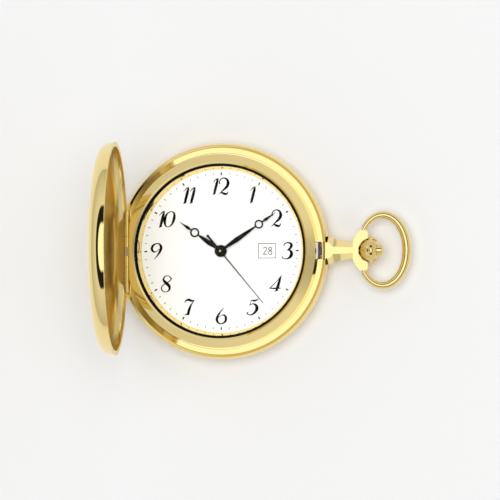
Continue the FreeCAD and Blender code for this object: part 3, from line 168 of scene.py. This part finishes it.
# Each stroke is a row of (across, up, width) in units of the digit's height.
digits = {
    "1": [
        [(0.15, 0.48, 0.02), (0.09, 0.3, 0.13), (0.0, -0.05, 0.15), (-0.08, -0.35, 0.13),
         (-0.12, -0.48, 0.07)],
        [(-0.2, -0.5, 0.03), (-0.11, -0.45, 0.08), (0.01, -0.41, 0.03)],
        [(-0.18, 0.22, 0.02), (-0.1, 0.3, 0.04), (0.02, 0.42, 0.06), (0.15, 0.48, 0.03)],
    ],
    "2": [
        [(-0.22, 0.13, 0.07), (-0.26, 0.24, 0.06), (-0.19, 0.41, 0.06), (0.0, 0.5, 0.06),
         (0.2, 0.41, 0.11), (0.27, 0.2, 0.16), (0.19, -0.02, 0.15), (-0.04, -0.24, 0.08),
         (-0.28, -0.46, 0.03)],
        [(-0.29, -0.49, 0.04), (-0.16, -0.37, 0.06), (0.02, -0.44, 0.13), (0.17, -0.46, 0.1),
         (0.29, -0.31, 0.03)],
    ],
    "3": [
        [(-0.2, 0.28, 0.06), (-0.13, 0.42, 0.06), (0.09, 0.48, 0.07), (0.26, 0.36, 0.14),
         (0.21, 0.17, 0.13), (0.02, 0.04, 0.04)],
        [(-0.02, 0.03, 0.03), (0.17, 0.01, 0.1), (0.27, -0.16, 0.17), (0.2, -0.36, 0.15),
         (0.0, -0.48, 0.07), (-0.22, -0.46, 0.05), (-0.32, -0.35, 0.07)],
    ],
    "4": [
        [(0.31, 0.47, 0.03), (0.0, 0.09, 0.04), (-0.4, -0.3, 0.05)],
        [(-0.42, -0.3, 0.05), (-0.07, -0.31, 0.08), (0.27, -0.29, 0.05)],
        [(0.31, 0.47, 0.03), (0.19, 0.13, 0.13), (0.08, -0.24, 0.15), (0.0, -0.47, 0.08)],
        [(-0.12, -0.48, 0.03), (0.0, -0.44, 0.07), (0.12, -0.42, 0.03)],
    ],
    "5": [
        [(-0.1, 0.42, 0.04), (0.08, 0.38, 0.1), (0.26, 0.43, 0.07), (0.36, 0.5, 0.02)],
        [(-0.08, 0.42, 0.04), (-0.2, 0.13, 0.04)],
        [(-0.2, 0.1, 0.03), (0.0, 0.2, 0.06), (0.2, 0.08, 0.15), (0.23, -0.13, 0.17),
         (0.07, -0.36, 0.11), (-0.15, -0.47, 0.06), (-0.33, -0.4, 0.06), (-0.33, -0.3, 0.09)],
    ],
    "6": [
        [(0.17, 0.49, 0.03), (-0.05, 0.24, 0.07), (-0.22, -0.04, 0.13), (-0.26, -0.26, 0.14),
         (-0.15, -0.44, 0.08), (0.04, -0.47, 0.06), (0.24, -0.34, 0.11), (0.29, -0.12, 0.13),
         (0.2, 0.03, 0.09), (0.04, 0.04, 0.04), (-0.16, -0.1, 0.03)],
    ],
    "7": [
        [(-0.3, 0.26, 0.03), (-0.22, 0.4, 0.07), (-0.03, 0.45, 0.13), (0.13, 0.38, 0.1),
         (0.31, 0.44, 0.03)],
        [(0.3, 0.43, 0.03), (0.11, 0.16, 0.08), (-0.02, -0.14, 0.14), (-0.1, -0.44, 0.14)],
        [(-0.3, -0.47, 0.04), (-0.16, -0.42, 0.08), (-0.03, -0.47, 0.03)],
    ],
    "8": [
        [(0.25, 0.35, 0.06), (0.1, 0.48, 0.04), (-0.1, 0.42, 0.06), (-0.18, 0.23, 0.11),
         (-0.01, 0.03, 0.16), (0.17, -0.15, 0.15), (0.17, -0.37, 0.09), (-0.03, -0.5, 0.04),
         (-0.25, -0.42, 0.06), (-0.3, -0.22, 0.06), (-0.12, -0.02, 0.05), (0.15, 0.12, 0.05),
         (0.3, 0.3, 0.06), (0.25, 0.35, 0.06)],
    ],
    "9": [
        [(-0.16, -0.47, 0.03), (0.05, -0.24, 0.07), (0.22, 0.04, 0.13), (0.27, 0.26, 0.14),
         (0.16, 0.45, 0.08), (-0.03, 0.47, 0.06), (-0.23, 0.35, 0.11), (-0.3, 0.15, 0.13),
         (-0.2, -0.01, 0.09), (-0.03, -0.01, 0.04), (0.16, 0.14, 0.03)],
    ],
    "0": [
        [(0.13, 0.46, 0.04), (-0.13, 0.32, 0.08), (-0.27, -0.04, 0.15), (-0.25, -0.34, 0.1),
         (-0.1, -0.47, 0.04), (0.13, -0.36, 0.08), (0.29, -0.0, 0.15), (0.3, 0.34, 0.1),
         (0.13, 0.46, 0.04)],
    ],
}


STROKE_STEPS = 8
STROKE_BOLD = 1.15


def between(t, a, b, c, d):
    """The value at t between b and c on a smooth curve through all four."""
    return 0.5 * (2 * b + (c - a) * t + (2 * a - 5 * b + 4 * c - d) * t * t
                  + (3 * b - a - 3 * c + d) * t ** 3)


def drawn(strokes, centre, height, vertices, faces, even=None):
    """Adds the strokes of one digit as flat ribbons round a centre. even is one width for all."""
    for stroke in strokes:
        points = [stroke[0]] + stroke + [stroke[-1]]
        row = []
        for p0, p1, p2, p3 in zip(points, points[1:], points[2:], points[3:]):
            for step in range(STROKE_STEPS):
                row.append([between(step / STROKE_STEPS, *four) for four in zip(p0, p1, p2, p3)])
        row.append(list(stroke[-1]))
        start = len(vertices)
        for i, (x, y, width) in enumerate(row):
            ahead, behind = row[min(i + 1, len(row) - 1)], row[max(i - 1, 0)]
            along = Vector((ahead[0] - behind[0], ahead[1] - behind[1]))
            along = along.normalized() if along.length else Vector((0, 1))
            half = (even or width * STROKE_BOLD) / 2
            for side in (-1, 1):
                vertices.append((centre[0] + height * (x - side * along.y * half),
                                 centre[1] + height * (y + side * along.x * half), centre[2]))
            if i:
                k = start + 2 * i
                faces.append((k - 2, k - 1, k + 1, k))


def flat_piece(name, vertices, faces, material, body):
    """A printed film that rides on a body of the model."""
    mesh = bpy.data.meshes.new(name)
    mesh.from_pydata(vertices, [], faces)
    mesh.materials.append(material)
    piece = bpy.data.objects.new(name, mesh)
    bpy.context.collection.objects.link(piece)
    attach(piece, body)
    return piece


ink = finish_of("print_black", INK_BLACK, 0.6, shine=0.1)
pale_ink = finish_of("print_grey", "45454A", 0.5, shine=0.2)
numeral_high = 3.7 * MM
numeral_ring = 14.35 * MM
pair_gap = {"10": (-.27, .17), "11": (-.19, .2), "12": (-.33, .15)}
vertices, faces = [], []
pushed_out = {3: 0.5 * MM, 9: 0.3 * MM}
for hour in range(1, 13):
    turn = math.radians(90 - 30 * hour)
    reach = numeral_ring + pushed_out.get(hour, 0)
    spot = (reach * math.cos(turn), reach * math.sin(turn))
    word = str(hour)
    for sign, across in zip(word, pair_gap.get(word, (0.0,))):
        middle = (spot[0] + across * numeral_high, spot[1], PRINT)
        drawn(digits[sign], middle, numeral_high, vertices, faces)
flat_piece("numerals", vertices, faces, ink, "case")

# Minute track: sixty ticks round the edge, those at the hours heavier. Inner and
# outer radius and width are in mm.
for name, hours, inner, outer, wide, material in (
        ("hour_ticks", True, 16.8, 17.45, 0.3, ink),
        ("minute_ticks", False, 16.95, 17.4, 0.14, pale_ink)):
    vertices, faces = [], []
    for minute in range(60):
        if (minute % 5 == 0) != hours:
            continue
        turn = math.radians(6 * minute)
        out = Vector((math.cos(turn), math.sin(turn), 0))
        side = Vector((-math.sin(turn), math.cos(turn), 0))
        half_tick = wide / 2
        start = len(vertices)
        for radius, half in ((inner, -half_tick), (outer, -half_tick),
                             (outer, half_tick), (inner, half_tick)):
            vertices.append(out * radius * MM + side * half * MM + Vector((0, 0, PRINT)))
        faces.append((start, start + 1, start + 2, start + 3))
    flat_piece(name, vertices, faces, material, "case")

# Thin grey line round the date window.
window_x, half_wide, half_high, line = 10.35 * MM, 2.03 * MM, 1.66 * MM, 0.13 * MM
vertices = []
for inset in (0, line):
    for across, up in ((-1, -1), (1, -1), (1, 1), (-1, 1)):
        vertices.append((window_x + across * (half_wide - inset),
                         up * (half_high - inset), PRINT))
faces = [(i, (i + 1) % 4, 4 + (i + 1) % 4, 4 + i) for i in range(4)]
grey_line = finish_of("print_line", "36363A", 0.5, shine=0.2)
flat_piece("window_line", vertices, faces, grey_line, "case")

# ---------------------------------------------------------------- date ring
# The ring is printed with one date only, the twenty-eighth, which stands in the
# window at rest. Its figures are plain and upright, with one width of line.
date_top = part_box("date_ring")[1].z + 0.015 * MM
date_high = 1.65 * MM
plain = {
    "2": [
        [(-0.22, 0.3, 1), (-0.1, 0.48, 1), (0.12, 0.46, 1), (0.2, 0.26, 1), (0.06, 0.0, 1),
         (-0.24, -0.45, 1)],
        [(-0.26, -0.45, 1), (0.24, -0.45, 1)],
    ],
    "8": [
        [(0.0, 0.03, 1), (-0.2, 0.22, 1), (-0.12, 0.45, 1), (0.12, 0.45, 1), (0.2, 0.22, 1),
         (0.0, 0.03, 1), (-0.24, -0.2, 1), (-0.14, -0.46, 1), (0.14, -0.46, 1), (0.24, -0.2, 1),
         (0.0, 0.03, 1)],
    ],
}
vertices, faces = [], []
for sign, across in (("2", -0.55), ("8", 0.6)):
    drawn(plain[sign], (window_x + across * MM, 0, date_top), date_high, vertices, faces, even=0.11)
flat_piece("date_figures", vertices, faces, pale_ink, "date")

# -------------------------------------------------------------------- hands
# The bare end of the seconds arbor shows as a small bright dot on the hub.
hub_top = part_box("second_hand")[1].z + 0.01 * MM
dot_radius, dot_sides = 0.18 * MM, 24
vertices = []
for i in range(dot_sides):
    turn = 2 * math.pi * i / dot_sides
    vertices.append((dot_radius * math.cos(turn), dot_radius * math.sin(turn), hub_top))
flat_piece("arbor_dot", vertices, [tuple(range(dot_sides))], finishes["wheel_brass"],
           "seconds")

# -------------------------------------------------------------------- room
# A white floor under a grey sky that has a dark band high up and a bright top,
# with a broad lamp above and a dark card just before the camera. Polished faces
# pick up the band and the card as dark tones.

world = bpy.data.worlds.new("tent")
bpy.context.scene.world = world
world.use_nodes = True
sky = world.node_tree
direction = add_node(sky, "ShaderNodeTexCoord")
heights = add_node(sky, "ShaderNodeSeparateXYZ", {"Vector": direction.outputs["Generated"]})
bands = add_node(sky, "ShaderNodeValToRGB", {"Fac": heights.outputs["Z"]})
ramp = bands.color_ramp
SKY_STRENGTH = 1.3
SKY_STOPS = ((0.0, 0.42), (0.5, 0.58), (0.69, 0.66), (0.73, 0.012), (0.89, 0.012), (0.915, 1.0))
for i, (height, grey) in enumerate(SKY_STOPS):
    stop = ramp.elements[i] if i < 2 else ramp.elements.new(height)
    stop.position, stop.color = height, (grey, grey, grey, 1)
sky.links.new(bands.outputs["Color"], sky.nodes["Background"].inputs["Color"])
sky.nodes["Background"].inputs["Strength"].default_value = SKY_STRENGTH

# The camera leans toward the crown and a little toward 6 o'clock.
tilt, lean = math.radians(11.5), math.radians(1.8)
right = Vector((math.cos(tilt), 0, -math.sin(tilt)))
toward = Vector((math.sin(tilt) * math.cos(lean), -math.sin(lean),
                 math.cos(tilt) * math.cos(lean)))
above = toward.cross(right)

floor_size, floor_gap = 3.0, 0.1 * MM
bpy.ops.mesh.primitive_plane_add(size=floor_size, location=(0, 0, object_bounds()[0].z - floor_gap))
floor = bpy.context.object
floor.name = "floor"
floor.data.materials.append(finish_of("floor_white", "FFFFFF", 0.9))

card_material = finish_of("card_black", "060504", 0.9)


def card(name, wide, high, spot, facing):
    """A dark card of the studio, seen only in reflections."""
    bpy.ops.mesh.primitive_plane_add(size=1.0, location=spot)
    item = bpy.context.object
    item.name = name
    item.scale = (wide, high, 1)
    item.rotation_euler = Vector(facing).to_track_quat("Z", "Y").to_euler()
    item.data.materials.append(card_material)
    item.visible_camera = False
    item.visible_diffuse = False
    item.visible_shadow = False
    return item


card_size, card_reach, camera_reach = 0.06, 0.75, 0.8
card("camera_card", card_size, card_size, toward * card_reach, -toward)

# A broad lamp that lifts the dial and floor and leaves the polished metal alone.
lamp_data = bpy.data.lights.new("fill", "AREA")
lamp_data.size = 0.8
lamp_data.energy = 3.9
lamp = bpy.data.objects.new("fill", lamp_data)
bpy.context.collection.objects.link(lamp)
lamp.location = (0.15, 0.1, 1.0)
lamp.rotation_euler = Vector(lamp.location).to_track_quat("Z", "Y").to_euler()
lamp.visible_glossy = False

camera_data = bpy.data.cameras.new("camera")
camera_data.sensor_width = 36
camera_data.lens = 260
camera = bpy.data.objects.new("camera", camera_data)
bpy.context.collection.objects.link(camera)
aim = Vector((0, 0, 5.3 * MM)) + right * 6.36 * MM + above * 0.235 * MM
camera.location = aim + toward * camera_reach
camera.rotation_euler = Matrix((right, above, toward)).transposed().to_euler()
camera_data.clip_start, camera_data.clip_end = 0.01, 20
bpy.context.scene.camera = camera
bpy.context.scene.view_settings.view_transform = "Standard"
